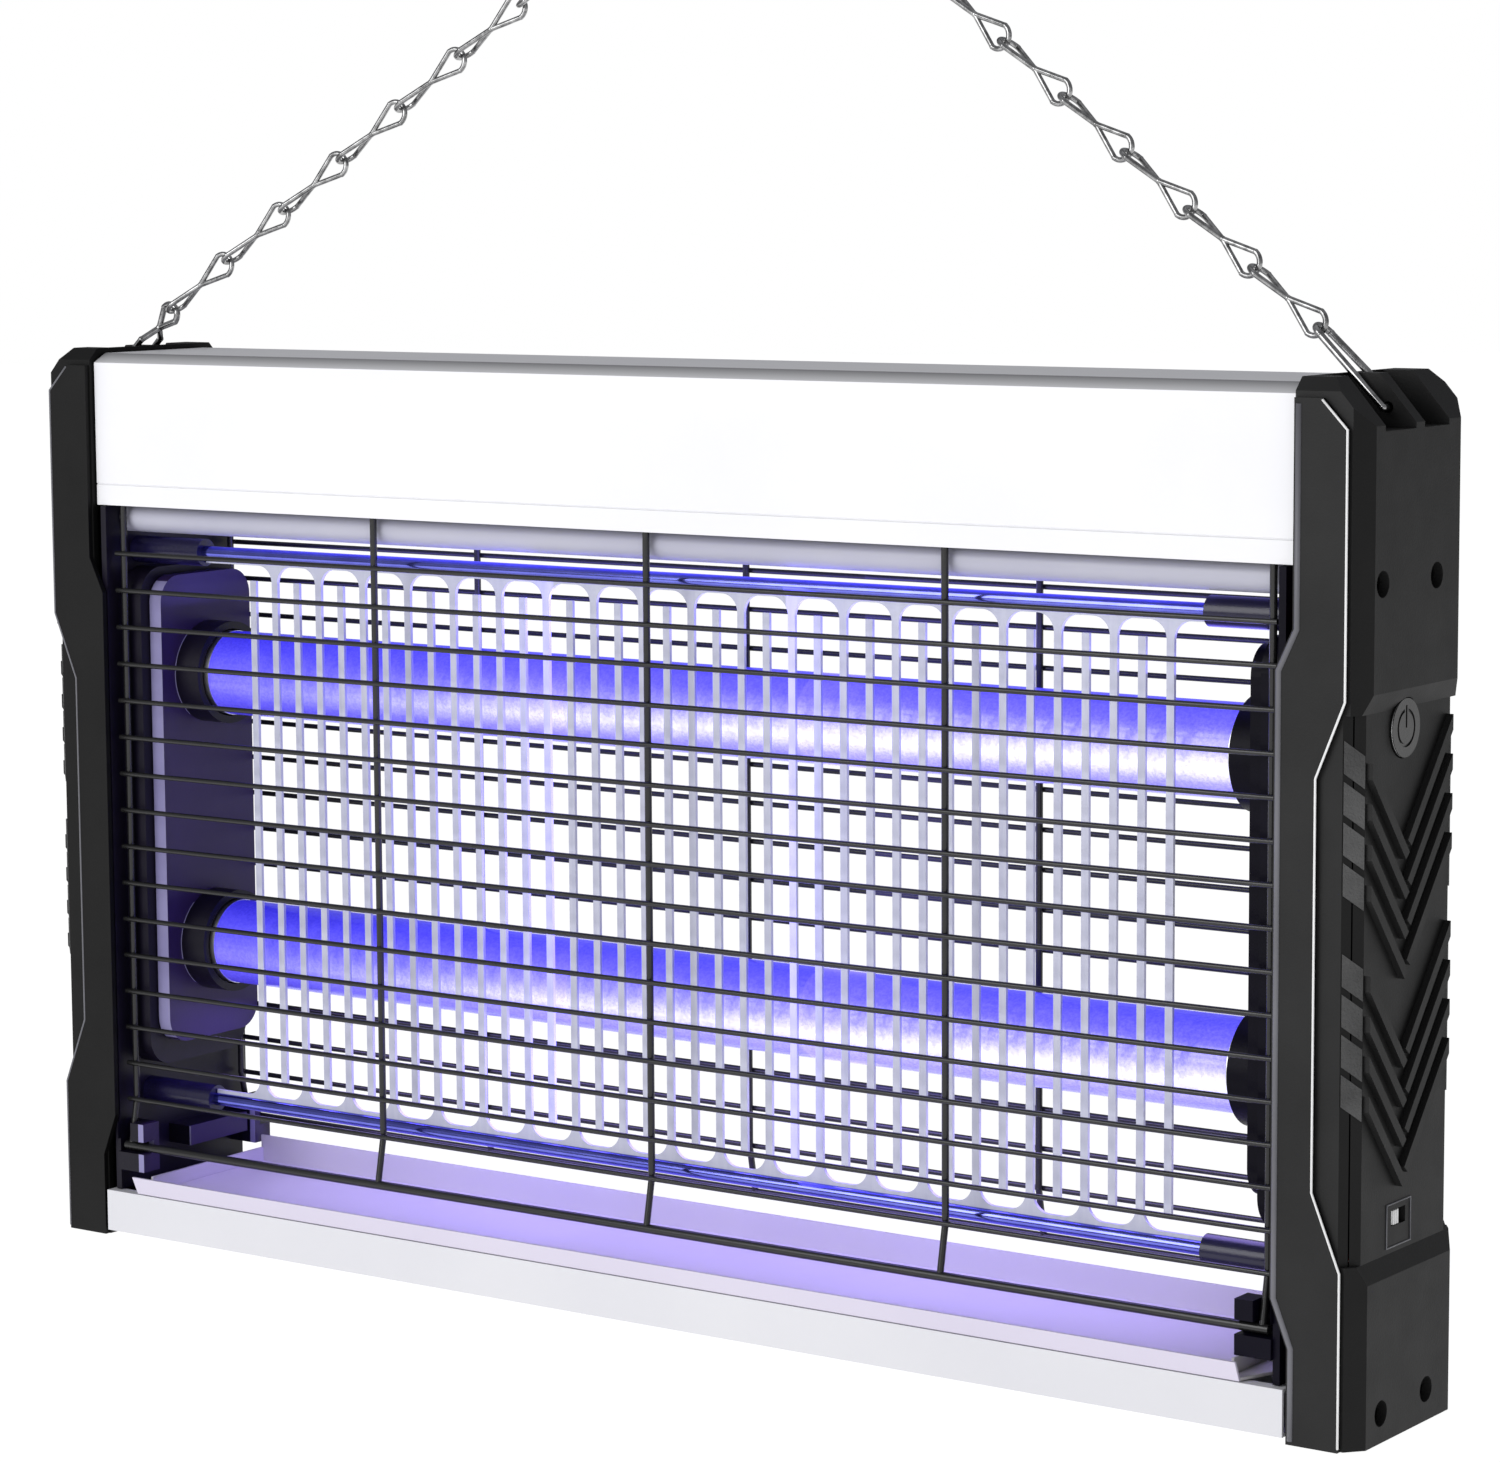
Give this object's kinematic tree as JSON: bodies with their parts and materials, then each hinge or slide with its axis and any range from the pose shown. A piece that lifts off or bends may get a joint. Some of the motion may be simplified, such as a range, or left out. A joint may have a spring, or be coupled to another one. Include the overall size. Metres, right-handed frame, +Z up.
{
  "type": "electric bug zapper",
  "caption": "Hanging electric insect killer: white sheet-metal housing, black end caps, wire guards, blue lamps behind a comb grid, catch tray and chain.",
  "frame": {"origin": "inside of the top of the hanging ring, where a hook carries the part", "axes": "+X to the right end cap that carries the power button, +Y towards the back, +Z up; the tray pulls out along -Y"},
  "size_m": [0.446, 0.0642, 0.4392],
  "materials": {
    "chain": "bright zinc-plated steel wire",
    "housing": "semi-gloss white",
    "pan": "semi-gloss pale lavender",
    "base": "semi-gloss white",
    "end_cap": "dark grey, fine satin texture",
    "inner_cover": "black, fine satin texture",
    "grip": "coarse grey texture",
    "screw": "black oxide",
    "rail": "bright plated rod",
    "insulator": "black",
    "comb": "bright plated sheet",
    "holder": "ivory",
    "lamp": "glowing blue-violet coated glass",
    "lamp_end": "satin",
    "guard": "gloss black coated wire",
    "tray": "semi-gloss pale lavender",
    "board": "green laminate",
    "transformer": "dark lacquered laminations",
    "components": "dark blue",
    "lead": "red",
    "gland": "black",
    "button": "black",
    "switch": "dark grey",
    "knob": "white"
  },
  "bodies": {
    "hanger": {"hanging_ring": "chain", "left_chain": "chain", "right_chain": "chain"},
    "cabinet": {"left_end_link": "chain", "right_end_link": "chain", "top_housing": "housing", "housing_pan": "pan", "base_channel": "base", "left_end_cap": "end_cap", "right_end_cap": "end_cap", "left_inner_cover": "inner_cover", "right_inner_cover": "inner_cover", "left_grip_pads": "grip", "right_grip_pads": "grip", "left_cap_screws": "screw", "right_cap_screws": "screw", "upper_rail": "rail", "lower_rail": "rail", "upper_left_insulator": "insulator", "upper_right_insulator": "insulator", "lower_left_insulator": "insulator", "lower_right_insulator": "insulator", "upper_comb": "comb", "lower_comb": "comb", "upper_left_lampholder": "holder", "upper_right_lampholder": "holder", "lower_left_lampholder": "holder", "lower_right_lampholder": "holder", "circuit_board": "board", "transformer": "transformer", "board_components": "components", "upper_hv_lead": "lead", "lower_hv_lead": "lead", "cord_gland": "gland", "button_switch": "switch", "slide_switch": "switch"},
    "front_guard": {"front_guard": "guard"},
    "rear_guard": {"rear_guard": "guard"},
    "catch_tray": {"tray_floor": "tray", "tray_front_lip": "tray", "tray_rear_wall": "tray", "tray_left_wall": "tray", "tray_right_wall": "tray"},
    "upper_lamp": {"upper_lamp_tube": "lamp", "upper_lamp_ends": "lamp_end"},
    "lower_lamp": {"lower_lamp_tube": "lamp", "lower_lamp_ends": "lamp_end"},
    "power_button": {"power_button": "button"},
    "slide_knob": {"slide_knob": "knob"}
  },
  "joints": [
    {"name": "cabinet_tilt", "type": "hinge", "parent": "hanger", "child": "cabinet", "pos_m": [0, -0.024, -0.15415], "axis": [1, 0, 0], "range_deg": [-15, 15]},
    {"name": "tray_slide", "type": "slide", "parent": "cabinet", "child": "catch_tray", "axis": [0, -1, 0], "range_m": [0, 0.09]},
    {"name": "front_guard_swing", "type": "hinge", "parent": "cabinet", "child": "front_guard", "pos_m": [0, -0.0479, -0.21125], "axis": [-1, 0, 0], "range_deg": [0, 34]},
    {"name": "rear_guard_swing", "type": "hinge", "parent": "cabinet", "child": "rear_guard", "pos_m": [0, -0.0001, -0.21125], "axis": [1, 0, 0], "range_deg": [0, 34]},
    {"name": "upper_lamp_twist", "type": "hinge", "parent": "cabinet", "child": "upper_lamp", "pos_m": [0, -0.0214, -0.26445], "axis": [1, 0, 0], "range_deg": [0, 90]},
    {"name": "lower_lamp_twist", "type": "hinge", "parent": "cabinet", "child": "lower_lamp", "pos_m": [0, -0.0214, -0.34715], "axis": [1, 0, 0], "range_deg": [0, 90]},
    {"name": "power_button_press", "type": "slide", "parent": "cabinet", "child": "power_button", "axis": [-1, 0, 0], "range_m": [0, 0.0016], "stiffness_N_per_m": 400, "springref_m": -0.001},
    {"name": "switch_slide", "type": "slide", "parent": "cabinet", "child": "slide_knob", "axis": [0, 1, 0], "range_m": [0, 0.003]}
  ]
}
